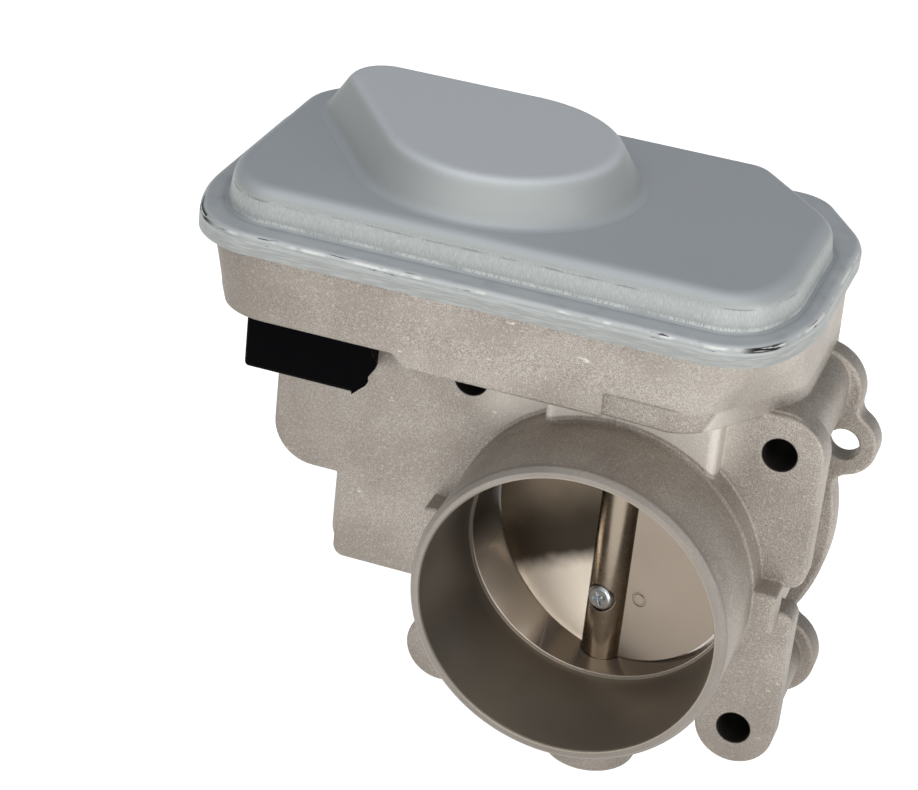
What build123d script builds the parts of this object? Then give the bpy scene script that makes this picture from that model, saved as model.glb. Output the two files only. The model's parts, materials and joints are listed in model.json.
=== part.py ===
from build123d import *
import os
from math import acos, atan2, cos, degrees, pi, radians, sin, sqrt, tan

# Electronic throttle body.  Millimetres, +Z up, +Y from the air inlet towards the engine.
# The origin is on the bore axis, in the plane of the rear face that bolts to the manifold.
# The shaft is vertical, and the gear tray with its pressed cover is on top.

# ---------------------------------------------------------------- driving dimensions
BORE_R = 30.0               # inlet bore at the rim
LEDGE_R = 29.3              # inlet bore at the machined ledge
THROAT_R = 28.5             # machined throat that the plate closes
TUBE_R = 32.4               # outside of the inlet tube, where the hose goes
ROOT_R = 32.8               # root of the tube, behind the end of the hose
HOSE_END_Y = -43.5
ROOT_TAPER = 0.9
LUG_X = 37.2
RIM_Y = -64.0
LEDGE_Y = -36.0
BOSS_Y = -37.0              # front plane of the bolt bosses and of the motor housing
BLOCK_Y = -42.5             # front plane of the block under the gear tray
BODY_R = 36.6
BOSS_PLATE_T = 6.0          # plate that joins the fronts of the two right hand bosses

BOLT_PITCH = 64.0           # square bolt pattern
BOLT_R = 3.5
FLANGE_T = 5.0
FLANGE_R = 40.5
LOBE_R = 9.7
EAR_AT = (39.4, 21.2)       # bracket ear on the flange, x and z
EAR_R = 7.2

SHAFT_Y = -26.2
SHAFT_R = 4.5
REST_TILT = 15.0            # plate angle at rest, from square across the bore
CLOSED_TILT = 7.0           # plate angle with the throat shut
PLATE_T = 2.0
PLATE_CLEARANCE = 0.08

TRAY_FLOOR = 44.4
TRAY_BOTTOM = 39.4
TRAY_STEP = 42.0            # underside left of the step
TRAY_STEP_X = -44.0
TRAY_TOP = 59.6
SKIRT_BOTTOM = 57.0
LIP_TOP = 61.3
PLATEAU_TOP = 68.5
DOME_TOP = 77.0
SHEET = 1.0                 # thickness of the pressed steel cover

MODULE = 1.0
PRESSURE_ANGLE = 25.0
ADDENDUM = 0.8
DEDENDUM = 1.05
BACKLASH = 0.12
SECTOR_TEETH = 46
IDLER_SMALL = 13
IDLER_LARGE = 38
MOTOR_TEETH = 11

MOTOR_X = -49.0
MOTOR_Y = -22.4
CAN_R = 12.0
CAN_BOTTOM = -13.5
CAN_TOP = 41.0
MOTOR_SHAFT_R = 1.6
PIN_R = 2.5
GAP = 0.02                  # between pieces of one body that are pressed together

BEARING_R = 6.5
BEARING_H = 10.0
UPPER_BEARING_Z = 30.5
LOWER_BEARING_Z = -47.0
SEAL_R = 8.0
SEAL_Z = UPPER_BEARING_Z + BEARING_H
SHAFT_BOTTOM = -49.0
SHAFT_TOP = 59.0
PLUG_R = 7.5
SCREW_R = 1.5
POST_R = 3.0

BOARD_Z = 64.5              # underside of the sensor board
BOARD_POST_AT = (22.0, -8.0)
MOTOR_SCREWS = [(MOTOR_X - 17.5, MOTOR_Y), (MOTOR_X + 17.5, MOTOR_Y)]
MOTOR_SCREW_Z = 38.6
NECK_X = -54.0              # connector neck through the tray floor
NECK_Y = -44.2
NECK_L = 8.0
NECK_W = 8.4
STOP_Z = 53.0
STOP_ANGLE = 50.0           # of the closed stop, about the shaft
STOP_REACH = 15.5


# ---------------------------------------------------------------- gear geometry
def pitch_radius(teeth):
    return teeth * MODULE / 2


def third_corner(a, b, from_a, from_b):
    """Point at the given distances from a and b, on the left of the way from a to b turned back."""
    dx, dy = b[0] - a[0], b[1] - a[1]
    span = sqrt(dx * dx + dy * dy)
    along = (from_a**2 - from_b**2 + span**2) / (2 * span)
    across = sqrt(from_a**2 - along**2)
    return (a[0] + (dx * along + dy * across) / span, a[1] + (dy * along - dx * across) / span)


def bearing_angle(a, b):
    return degrees(atan2(b[1] - a[1], b[0] - a[0]))


def meshing_phase(angle, tooth_at, teeth, mate_teeth):
    """Angle of a tooth on the mate, for a gear with a tooth at tooth_at and its mate at angle."""
    ahead = tooth_at - angle
    return angle + 180 - ahead * teeth / mate_teeth + 180 / mate_teeth


SHAFT_AT = (0.0, SHAFT_Y)
MOTOR_AT = (MOTOR_X, MOTOR_Y)
IDLER_AT = third_corner(
    SHAFT_AT,
    MOTOR_AT,
    pitch_radius(SECTOR_TEETH + IDLER_SMALL),
    pitch_radius(IDLER_LARGE + MOTOR_TEETH),
)
SECTOR_MESH = bearing_angle(SHAFT_AT, IDLER_AT)
MOTOR_MESH = bearing_angle(MOTOR_AT, IDLER_AT)
SECTOR_TOOTH = SECTOR_MESH + 40.0
IDLER_SMALL_TOOTH = meshing_phase(SECTOR_MESH, SECTOR_TOOTH, SECTOR_TEETH, IDLER_SMALL)
IDLER_LARGE_TOOTH = meshing_phase(MOTOR_MESH, 0.0, MOTOR_TEETH, IDLER_LARGE)


STOP_POST_AT = (
    STOP_REACH * cos(radians(STOP_ANGLE)),
    SHAFT_Y + STOP_REACH * sin(radians(STOP_ANGLE)),
)
# The stop screw points clockwise round the shaft, at the lug on the sector gear.
STOP_PLANE = Plane(
    origin=(STOP_POST_AT[0], STOP_POST_AT[1], STOP_Z),
    z_dir=(sin(radians(STOP_ANGLE)), -cos(radians(STOP_ANGLE)), 0),
)


def polar(radius, angle):
    return (radius * cos(angle), radius * sin(angle))


def involute(angle):
    return tan(angle) - angle


def tooth_points(teeth, centre_angle):
    """Points of one tooth, in order round the gear."""
    pitch = pitch_radius(teeth)
    base = pitch * cos(radians(PRESSURE_ANGLE))
    tip = pitch + ADDENDUM * MODULE
    root = pitch - DEDENDUM * MODULE
    half = pi / (2 * teeth) - BACKLASH / (4 * pitch) + involute(radians(PRESSURE_ANGLE))
    start = max(base, root)
    steps = 4
    flank = []
    if root < base:
        flank.append((root, half))
    for i in range(steps + 1):
        r = start + (tip - start) * i / steps
        flank.append((r, half - involute(acos(min(1.0, base / r)))))
    rising = [polar(r, centre_angle - a) for r, a in flank]
    falling = [polar(r, centre_angle + a) for r, a in reversed(flank)]
    return rising + falling


def tooth_ring(teeth, tooth_angle, count):
    """Points of count teeth, centred on tooth_angle in degrees."""
    points = []
    for i in range(count):
        angle = radians(tooth_angle + (i - (count - 1) / 2) * 360 / teeth)
        points += tooth_points(teeth, angle)
    return points


def full_gear(teeth, tooth_angle):
    """Points of a whole gear with one tooth centred on tooth_angle."""
    points = []
    for i in range(teeth):
        points += tooth_points(teeth, radians(tooth_angle + i * 360 / teeth))
    return points


def save(piece, label):
    piece.label = label
    export_step(piece, f"parts/{label}.step")


def upright(at, bottom):
    """Plane at a height, with its origin over a point of the plan."""
    return Plane((at[0], at[1], bottom))


os.makedirs("parts", exist_ok=True)

# ---------------------------------------------------------------- plan outlines
# Each is a list of corners (x, y) and the radius at each corner, anticlockwise from the front left.
CORNER_RADII = [16, 16, 40, 20, 10, 10, 20, 40]
LIP = [
    (-85.5, -56.8),
    (28.0, -56.8),
    (35.3, -37.0),
    (35.3, 7.0),
    (22.5, 26.8),
    (-82.0, 26.8),
    (-92.5, 10.0),
    (-92.5, -37.0),
]
PLATEAU = [
    (-80.5, -50.8),
    (24.5, -50.8),
    (30.9, -37.0),
    (30.9, -1.5),
    (11.0, 20.6),
    (-78.5, 20.6),
    (-87.6, 6.0),
    (-87.6, -37.0),
]
PLATEAU_RADII = [12, 12, 30, 14, 8, 8, 14, 30]
TRAY_UPPER = [
    (-84.0, -53.8),
    (26.5, -53.8),
    (33.4, -35.0),
    (33.4, 6.0),
    (21.5, 23.6),
    (-81.0, 23.6),
    (-89.2, 9.0),
    (-89.2, -35.0),
]
TRAY_LOWER = [
    (-78.0, -53.4),
    (16.0, -53.4),
    (34.0, -28.0),
    (34.0, 5.0),
    (21.0, 23.0),
    (-80.0, 23.0),
    (-87.3, 9.0),
    (-87.3, -38.0),
]
LOWER_RADII = [12, 12, 14, 16, 10, 10, 16, 20]
CAVITY = [
    (-77.0, -50.2),
    (14.5, -50.2),
    (31.0, -27.5),
    (31.0, 4.0),
    (19.5, 20.0),
    (-78.5, 20.0),
    (-84.3, 8.0),
    (-84.3, -37.0),
]
DOME_CENTRE = (-37.0, -15.7)
DOME_R = 25.8
DOME_TAIL = (-68.0, 0.3)
DOME_TAIL_R = 9.5
# Rise above the plateau and growth of the outline, from the foot of the dome to its top.
DOME_PROFILE = [
    (-0.05, 4.9),
    (0.12, 4.0),
    (0.6, 3.1),
    (1.6, 2.25),
    (4.0, 0.75),
    (6.4, -0.75),
    (7.5, -1.55),
    (8.2, -2.5),
    (DOME_TOP - PLATEAU_TOP, -4.0),
]

# ---------------------------------------------------------------- housing casting
with BuildPart() as tray_form:
    with BuildSketch(Plane.XY.offset(TRAY_BOTTOM)):
        with BuildLine():
            FilletPolyline(*TRAY_LOWER, radius=LOWER_RADII, close=True)
        make_face()
    with BuildSketch(Plane.XY.offset(SKIRT_BOTTOM + 0.2)):
        with BuildLine():
            FilletPolyline(*TRAY_UPPER, radius=LOWER_RADII, close=True)
        make_face()
    loft(ruled=True)
    # The underside is higher left of the step.
    with BuildSketch(Plane.XZ.offset(70)):
        with BuildLine():
            Polyline(
                (-100, TRAY_BOTTOM - 2),
                (TRAY_STEP_X + 2.6, TRAY_BOTTOM - 2),
                (TRAY_STEP_X + 2.6, TRAY_BOTTOM),
                (TRAY_STEP_X, TRAY_STEP),
                (-100, TRAY_STEP),
                close=True,
            )
        make_face()
    extrude(amount=-110, mode=Mode.SUBTRACT)
    # Relief along the lower front edge, deep at its left end and running out to the right.
    with BuildSketch(Plane.XY.offset(TRAY_BOTTOM - 1)):
        with BuildLine():
            Polyline((-0.8, -56), (-0.8, -52.2), (17.0, -53.4), (17.0, -56), close=True)
        make_face()
    extrude(amount=6.0, mode=Mode.SUBTRACT)
    # Ledge that carries the seal and the cover.
    with BuildSketch(Plane.XY.offset(SKIRT_BOTTOM + 0.2)):
        with BuildLine():
            FilletPolyline(*LIP, radius=CORNER_RADII, close=True)
        make_face()
        offset(amount=-1.4, mode=Mode.REPLACE)
    extrude(amount=TRAY_TOP - SKIRT_BOTTOM - 0.2)

with BuildPart() as tube_form:
    with BuildSketch(Plane.XY):
        with BuildLine():
            Polyline(
                (20, RIM_Y),
                (TUBE_R - 1.0, RIM_Y),
                (TUBE_R, RIM_Y + 1.0),
                (TUBE_R, HOSE_END_Y),
                (ROOT_R, HOSE_END_Y + ROOT_TAPER),
                (ROOT_R, BOSS_Y),
                (BODY_R, BOSS_Y),
                (BODY_R, -1),
                (20, -1),
                close=True,
            )
        make_face()
    revolve(axis=Axis.Y)
    fillet(tube_form.edges().filter_by(GeomType.CIRCLE).filter_by(
        lambda e: abs(e.center().Y - (RIM_Y + 1.0)) < 0.01), 0.7)

with BuildPart() as tube_lugs:
    # Short lug on each side of the root of the tube, level with the bore axis.
    with Locations((0, -40.0, -0.2)):
        Box(2 * LUG_X, 6.6, 8.8)
    fillet(tube_lugs.edges().filter_by(Axis.Z).group_by(Axis.Y)[0], 0.8)
    fillet(tube_lugs.faces().filter_by(Axis.Z).sort_by(Axis.Z)[-1].edges().filter_by(Axis.Y), 0.8)

with BuildPart() as motor_form:
    # Flat front plate, stepped at the lower left.
    with BuildSketch(Plane.XZ.offset(-BOSS_Y)):
        with BuildLine():
            FilletPolyline(
                (-73.5, TRAY_STEP + 1),
                (-73.5, 3.2),
                (-58.4, 3.2),
                (-58.4, -16.5),
                (-10.0, -16.5),
                (-10.0, TRAY_STEP + 1),
                radius=[0.5, 9, 1.2, 2.5, 0.5, 0.5],
                close=True,
            )
        make_face()
    extrude(amount=-15)
    fillet(motor_form.faces().sort_by(Axis.Y)[0].edges().filter_by(
        lambda e: e.center().Z < 41), 0.8)

with BuildPart() as motor_sleeve:
    with BuildSketch(upright(MOTOR_AT, -16.5)):
        Circle(CAN_R + 2.0)
    extrude(amount=TRAY_STEP + 17)
    fillet(motor_sleeve.edges().group_by(Axis.Z)[0], 1.5)

with BuildPart() as upper_web:
    # Box behind the upper left of the plate, open at the back.
    with Locations((-62.5, -23.5, 22.6)):
        Box(22.0, 26.0, 38.8)
    fillet(upper_web.edges().filter_by(Axis.Y).filter_by(lambda e: e.center().X < -70 and e.center().Z < 10), 9)
    with Locations((-68.5, -17.5, 22.0)):
        Box(6.0, 32.0, 30.0, mode=Mode.SUBTRACT)

with BuildPart() as block_form:
    with Locations((3.05, -23.0, 21.0)):
        Box(35.7, 39.0, 42.0)
    fillet(block_form.edges().filter_by(Axis.Z).group_by(Axis.Y)[0], 2.2)

with BuildPart() as right_plate:
    with BuildSketch(Plane.XZ.offset(-BOSS_Y - BOSS_PLATE_T)):
        with BuildLine():
            FilletPolyline(
                (5, 40.5),
                (5, 3.2),
                (41.1, 3.2),
                (41.1, 40.5),
                radius=[0.5, 0.5, 3.5, 9.0],
                close=True,
            )
        make_face()
    extrude(amount=BOSS_PLATE_T)
    fillet(right_plate.faces().sort_by(Axis.Y)[0].edges().filter_by(
        lambda e: e.center().X > 22), 0.7)

with BuildPart() as lower_plate:
    with BuildSketch(Plane.XZ.offset(-BOSS_Y - BOSS_PLATE_T)):
        with Locations((BOLT_PITCH / 2, -BOLT_PITCH / 2)):
            Circle(8.3)
        with Locations((30.3, -17.3)):
            Rectangle(20.0, 29.4)
    extrude(amount=BOSS_PLATE_T)
    fillet(lower_plate.edges().filter_by(Axis.Y).sort_by(lambda e: e.center().X + e.center().Z)[-1], 2.5)
    fillet(lower_plate.faces().sort_by(Axis.Y)[0].edges().filter_by(
        lambda e: e.center().X > 25), 0.7)

with BuildPart() as right_bosses:
    with BuildSketch(Plane.XZ.offset(2)):
        with Locations((28.3, 32.5)):
            RectangleRounded(20.6, 17.0, 6.5)
        with Locations((BOLT_PITCH / 2, -BOLT_PITCH / 2)):
            Circle(6.8)
        with Locations((28.0, -28.0)):
            Rectangle(12.0, 10.0, rotation=45)
    extrude(amount=-BOSS_Y - 3)

with BuildPart() as left_column:
    with BuildSketch(Plane.XZ.offset(2)):
        with Locations((-BOLT_PITCH / 2, -BOLT_PITCH / 2)):
            Circle(8.0)
        with Locations((-28.0, -28.0)):
            Rectangle(12.0, 11.0, rotation=-45)
    extrude(amount=-BOSS_Y - 2)
    fillet(left_column.faces().sort_by(Axis.Y)[0].edges(), 0.7)

with BuildPart() as flange_form:
    with BuildSketch(Plane.XZ):
        Circle(FLANGE_R)
        with GridLocations(BOLT_PITCH, BOLT_PITCH, 2, 2):
            Circle(LOBE_R)
        with Locations(EAR_AT):
            Circle(EAR_R)
        fillet(vertices(), 3.0)
    extrude(amount=FLANGE_T)
    fillet(flange_form.faces().sort_by(Axis.Y)[0].edges(), 0.8)

with BuildPart() as shaft_boss:
    with BuildSketch(upright(SHAFT_AT, -53.5)):
        Circle(10.0)
    extrude(amount=30)
    fillet(shaft_boss.edges().group_by(Axis.Z)[0], 1.2)

with BuildPart() as housing:
    for form in (
        tray_form,
        tube_form,
        tube_lugs,
        motor_form,
        motor_sleeve,
        upper_web,
        block_form,
        right_plate,
        lower_plate,
        right_bosses,
        left_column,
        flange_form,
        shaft_boss,
    ):
        add(form.part)
    # Parting ridge down the middle of the block.
    with Locations((0.1, BLOCK_Y, 36.0)):
        Box(0.4, 0.6, 9.0)
    # Bosses on the tray floor: idler pin, closed stop and sensor board.
    with BuildSketch(upright(IDLER_AT, 34.0)):
        Circle(5.5)
    extrude(amount=TRAY_FLOOR - 34.0)
    # Gear cavity, open at the top.
    with BuildSketch(Plane.XY.offset(TRAY_FLOOR)):
        with BuildLine():
            FilletPolyline(*CAVITY, radius=LOWER_RADII, close=True)
        make_face()
    extrude(amount=TRAY_TOP - TRAY_FLOOR + 1, mode=Mode.SUBTRACT)
    with BuildSketch(upright(IDLER_AT, TRAY_FLOOR - 1)):
        Circle(5.5)
    extrude(amount=3.0)
    with BuildSketch(upright(STOP_POST_AT, TRAY_FLOOR - 1)):
        Circle(POST_R)
    extrude(amount=STOP_Z + 4 - TRAY_FLOOR)
    with BuildSketch(upright(BOARD_POST_AT, TRAY_FLOOR - 1)):
        Circle(POST_R)
    extrude(amount=BOARD_Z - TRAY_FLOOR + 1)
    # Inlet bore, ledge and throat.
    with BuildSketch(Plane.XY):
        with BuildLine():
            Polyline(
                (0, RIM_Y - 1),
                (BORE_R + 0.6, RIM_Y - 1),
                (BORE_R, RIM_Y + 0.4),
                (LEDGE_R, LEDGE_Y - 0.1),
                (THROAT_R, LEDGE_Y),
                (THROAT_R, 1),
                (0, 1),
                close=True,
            )
        make_face()
    revolve(axis=Axis.Y, mode=Mode.SUBTRACT)
    # Bolt holes right through, and the hole in the bracket ear.
    with BuildSketch(Plane.XZ.offset(-1)):
        with GridLocations(BOLT_PITCH, BOLT_PITCH, 2, 2):
            Circle(BOLT_R)
    extrude(amount=-BOSS_Y + 2, mode=Mode.SUBTRACT)
    with BuildSketch(Plane.XZ.offset(-1)):
        with Locations(EAR_AT):
            Circle(BOLT_R)
    extrude(amount=FLANGE_T + 1, mode=Mode.SUBTRACT)
    # Shaft hole with its bearing, seal and plug pockets.
    for radius, low, high in (
        (SHAFT_R + 0.1, -50.0, TRAY_FLOOR),
        (BEARING_R + GAP, UPPER_BEARING_Z, TRAY_FLOOR),
        (SEAL_R + GAP, SEAL_Z, TRAY_FLOOR),
        (BEARING_R + GAP, -50.0, LOWER_BEARING_Z + BEARING_H),
        (PLUG_R + GAP, -54.0, SHAFT_BOTTOM),
    ):
        with BuildSketch(upright(SHAFT_AT, low)):
            Circle(radius)
        extrude(amount=high - low, mode=Mode.SUBTRACT)
    # Motor bore, idler pin hole and screw holes.
    for at, radius, low, high in (
        (MOTOR_AT, CAN_R + 0.15, CAN_BOTTOM - 1, TRAY_FLOOR),
        (IDLER_AT, PIN_R + GAP, 36.0, TRAY_FLOOR + 3),
        (MOTOR_SCREWS[0], SCREW_R + GAP, MOTOR_SCREW_Z, TRAY_FLOOR),
        (MOTOR_SCREWS[1], SCREW_R + GAP, MOTOR_SCREW_Z, TRAY_FLOOR),
        (BOARD_POST_AT, SCREW_R + GAP, BOARD_Z - 6, BOARD_Z + 1),
    ):
        with BuildSketch(upright(at, low)):
            Circle(radius)
        extrude(amount=high - low, mode=Mode.SUBTRACT)
    # Threaded cross hole in the stop post.
    with BuildSketch(STOP_PLANE.offset(-10)):
        Circle(SCREW_R + GAP)
    extrude(amount=14, mode=Mode.SUBTRACT)
    # Slot where the connector comes up through the floor.
    with Locations((NECK_X, NECK_Y, TRAY_FLOOR - 1.5)):
        Box(NECK_L + 0.4, NECK_W + 0.4, 8.0, mode=Mode.SUBTRACT)
save(housing.part, "housing")


# ---------------------------------------------------------------- pressed cover and its seal
def flat_faces(form):
    return form.faces().filter_by(Axis.Z).sort_by(Axis.Z)


def cover_form(inset):
    """Solid shape of the pressed cover, shrunk by inset on every side."""
    with BuildPart() as form:
        with BuildSketch(Plane.XY.offset(SKIRT_BOTTOM)):
            with BuildLine():
                FilletPolyline(*LIP, radius=CORNER_RADII, close=True)
            make_face()
            if inset > 0:
                offset(amount=-inset, mode=Mode.REPLACE)
        extrude(amount=LIP_TOP - inset - SKIRT_BOTTOM)
        with BuildSketch(Plane.XY.offset(LIP_TOP - inset)):
            with BuildLine():
                FilletPolyline(*PLATEAU, radius=PLATEAU_RADII, close=True)
            make_face()
            if inset > 0:
                offset(amount=-inset, mode=Mode.REPLACE)
        extrude(amount=PLATEAU_TOP - LIP_TOP, taper=9)
        fillet(flat_faces(form)[-2].inner_wires()[0].edges(), 0.8 + inset)
        fillet(flat_faces(form)[-1].edges(), 3.8 - inset)
        fillet(flat_faces(form)[-2].outer_wire().edges(), 1.8 - inset)
        for rise, grow in DOME_PROFILE:
            with BuildSketch(Plane.XY.offset(PLATEAU_TOP + rise - inset)):
                with Locations(DOME_CENTRE):
                    Circle(DOME_R + grow - inset / 2)
                with Locations(DOME_TAIL):
                    Circle(DOME_TAIL_R + grow - inset / 2)
                make_hull()
        loft()
    return form.part


with BuildPart() as cover:
    add(cover_form(0))
    add(cover_form(SHEET), mode=Mode.SUBTRACT)
save(cover.part, "cover")

with BuildPart() as cover_seal:
    with BuildSketch(Plane.XY.offset(TRAY_TOP + GAP)):
        with BuildLine():
            FilletPolyline(*LIP, radius=CORNER_RADII, close=True)
        make_face()
        offset(amount=-2.2, mode=Mode.REPLACE)
        with BuildLine():
            FilletPolyline(*LIP, radius=CORNER_RADII, close=True)
        face = make_face(mode=Mode.PRIVATE)
        offset(face, amount=-4.6, mode=Mode.SUBTRACT)
    extrude(amount=LIP_TOP - SHEET - TRAY_TOP - 2 * GAP)
save(cover_seal.part, "cover_seal")


# ---------------------------------------------------------------- round pieces on upright axes
def ring(at, inner, outer, low, high):
    """Plain ring or, with inner 0, a disc or pin."""
    with BuildPart() as piece:
        with BuildSketch(upright(at, low)):
            Circle(outer)
            if inner > 0:
                Circle(inner, mode=Mode.SUBTRACT)
        extrude(amount=high - low)
    return piece.part


# ---------------------------------------------------------------- throttle shaft, plate and screws
SLOT_H = 57.6
SCREW_RISE = 14.0           # of each plate screw from the bore axis
SEAT = 3.0                  # of the screw head from the shaft axis
AT_REST = Location((0, SHAFT_Y, 0), (0, 0, -REST_TILT))


def across_plate(rise):
    """Plane square to the plate at rest, looking from the inlet side, at a height on the shaft."""
    tilt = radians(REST_TILT)
    return Plane(origin=(0, SHAFT_Y, rise), x_dir=(cos(tilt), -sin(tilt), 0), z_dir=(-sin(tilt), -cos(tilt), 0))


with BuildPart() as throttle_shaft:
    with BuildSketch(upright(SHAFT_AT, SHAFT_BOTTOM)):
        Circle(SHAFT_R)
    extrude(amount=SHAFT_TOP - SHAFT_BOTTOM)
    chamfer(throttle_shaft.edges().filter_by(GeomType.CIRCLE), 0.5)
    with Locations(AT_REST):
        Box(3 * SHAFT_R, PLATE_T + 0.1, SLOT_H, mode=Mode.SUBTRACT)
    for rise in (-SCREW_RISE, SCREW_RISE):
        with BuildSketch(across_plate(rise).offset(SEAT)):
            Circle(3.1)
        extrude(amount=3, mode=Mode.SUBTRACT)
        with BuildSketch(across_plate(rise).offset(-SHAFT_R - 1)):
            Circle(SCREW_R + GAP)
        extrude(amount=3 * SHAFT_R, mode=Mode.SUBTRACT)
save(throttle_shaft.part, "throttle_shaft")

# The plate's rim lies along the throat at the closed angle, so it is cut there and then turned.
PLATE_R = THROAT_R - PLATE_CLEARANCE
with BuildPart() as closed_plate:
    with Locations(Location((0, SHAFT_Y, 0), (0, 0, -CLOSED_TILT))):
        Box(2.2 * PLATE_R, PLATE_T, 2.2 * PLATE_R)
    with BuildSketch(Plane.XZ.offset(-SHAFT_Y + 10)):
        Circle(PLATE_R)
    extrude(amount=-20, mode=Mode.INTERSECT)

with BuildPart() as throttle_plate:
    add(closed_plate.part.rotate(Axis((0, SHAFT_Y, 0), (0, 0, 1)), CLOSED_TILT - REST_TILT))
    for rise in (-SCREW_RISE, SCREW_RISE):
        with BuildSketch(across_plate(rise).offset(-5)):
            Circle(SCREW_R + 0.05)
        extrude(amount=10, mode=Mode.SUBTRACT)
    # Shallow ring struck in the inlet face beside the shaft.
    with BuildSketch(across_plate(-SCREW_RISE).offset(PLATE_T / 2 - 0.15)):
        with Locations((7.4, 1.2)):
            Circle(1.6)
            Circle(1.2, mode=Mode.SUBTRACT)
    extrude(amount=1, mode=Mode.SUBTRACT)
save(throttle_plate.part, "throttle_plate")

with BuildPart() as plate_screws:
    for rise in (-SCREW_RISE, SCREW_RISE):
        with BuildSketch(across_plate(rise).offset(SEAT)):
            Circle(2.9)
        extrude(amount=1.7)
        with BuildSketch(across_plate(rise).offset(-SHAFT_R + 0.6)):
            Circle(SCREW_R)
        extrude(amount=SEAT + SHAFT_R - 0.6)
    fillet(plate_screws.edges().filter_by(GeomType.CIRCLE).filter_by(
        lambda e: abs(across_plate(0).to_local_coords(e.center()).Z - SEAT - 1.7) < 0.01), 0.9)
    for rise in (-SCREW_RISE, SCREW_RISE):
        with BuildSketch(across_plate(rise).offset(SEAT + 0.7)):
            Rectangle(3.0, 0.6, rotation=20)
            Rectangle(0.6, 3.0, rotation=20)
        extrude(amount=2, mode=Mode.SUBTRACT)
save(plate_screws.part, "plate_screws")

# ---------------------------------------------------------------- bearings, seal and plug
SHAFT_FIT = 0.03
save(ring(SHAFT_AT, SHAFT_R + SHAFT_FIT, BEARING_R, UPPER_BEARING_Z, SEAL_Z - GAP), "upper_bearing")
save(
    ring(SHAFT_AT, SHAFT_R + SHAFT_FIT, BEARING_R, LOWER_BEARING_Z, LOWER_BEARING_Z + BEARING_H - GAP),
    "lower_bearing",
)
save(ring(SHAFT_AT, SHAFT_R + 0.05, SEAL_R, SEAL_Z, TRAY_FLOOR - 0.2), "shaft_seal")

with BuildPart() as lower_plug:
    with BuildSketch(upright(SHAFT_AT, -52.6)):
        Circle(PLUG_R)
    extrude(amount=2.4)
    fillet(lower_plug.edges().group_by(Axis.Z)[0], 0.8)
save(lower_plug.part, "lower_plug")

# ---------------------------------------------------------------- sector gear on the shaft
SECTOR_COUNT = 13
WEB_LOW, WEB_HIGH = 51.0, 55.0
HUB_R = 8.0
INSERT_R = 6.0
HUB_BOTTOM, HUB_TOP = 46.0, 58.0
LUG_ANGLE = 10.0

with BuildPart() as sector_gear:
    with BuildSketch(upright(SHAFT_AT, WEB_LOW - 1.0)):
        with BuildLine():
            Polyline((0, 0), *tooth_ring(SECTOR_TEETH, SECTOR_TOOTH, SECTOR_COUNT), close=True)
        make_face()
        Circle(18.0, mode=Mode.SUBTRACT)
    extrude(amount=WEB_HIGH - WEB_LOW + 1.0)
    with BuildSketch(upright(SHAFT_AT, WEB_LOW)):
        with BuildLine():
            Polyline((0, 0), *tooth_ring(SECTOR_TEETH, SECTOR_TOOTH, SECTOR_COUNT), close=True)
        make_face()
        with BuildLine():
            Polyline(
                polar(5, radians(LUG_ANGLE - 60)),
                polar(17.5, radians(LUG_ANGLE - 8.4)),
                polar(17.5, radians(LUG_ANGLE + 8.4)),
                polar(5, radians(LUG_ANGLE + 60)),
                close=True,
            )
        make_face()
    extrude(amount=WEB_HIGH - WEB_LOW - 1.0)
    with BuildSketch(upright(SHAFT_AT, HUB_BOTTOM)):
        Circle(HUB_R)
    extrude(amount=HUB_TOP - HUB_BOTTOM)
    with BuildSketch(upright(SHAFT_AT, HUB_BOTTOM)):
        Circle(SHAFT_R + 0.1)
    extrude(amount=20, mode=Mode.SUBTRACT)
    with BuildSketch(upright(SHAFT_AT, 50.0)):
        Circle(INSERT_R + GAP)
    extrude(amount=20, mode=Mode.SUBTRACT)
save(sector_gear.part, "sector_gear")

save(ring(SHAFT_AT, SHAFT_R + GAP, INSERT_R, 50.0 + GAP, HUB_TOP), "gear_insert")
save(ring(SHAFT_AT, SHAFT_R + GAP, 7.2, HUB_TOP + GAP, HUB_TOP + 0.8), "retaining_washer")

with BuildPart() as magnet_holder:
    with BuildSketch(upright(SHAFT_AT, SHAFT_TOP + GAP)):
        Circle(7.0)
    extrude(amount=4.2)
    with BuildSketch(upright(SHAFT_AT, SHAFT_TOP + 1.2)):
        Circle(5.5 + GAP)
    extrude(amount=5, mode=Mode.SUBTRACT)
save(magnet_holder.part, "magnet_holder")
save(ring(SHAFT_AT, 0, 5.5, SHAFT_TOP + 1.2 + GAP, SHAFT_TOP + 4.0), "sensor_magnet")

# ---------------------------------------------------------------- return spring round the hub
SPRING_R = 10.0
WIRE_R = 0.6
SPRING_TURNS = 2.5
SPRING_PITCH = 1.5
SPRING_LOW = TRAY_FLOOR + WIRE_R + 0.2

with BuildPart() as return_spring:
    with BuildLine() as coil:
        Helix(SPRING_PITCH, SPRING_TURNS * SPRING_PITCH, SPRING_R, center=(0, SHAFT_Y, SPRING_LOW))
    with BuildSketch(Plane(origin=coil.line @ 0, z_dir=coil.line % 0)):
        Circle(WIRE_R)
    sweep(path=coil.line)
save(return_spring.part, "return_spring")

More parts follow.
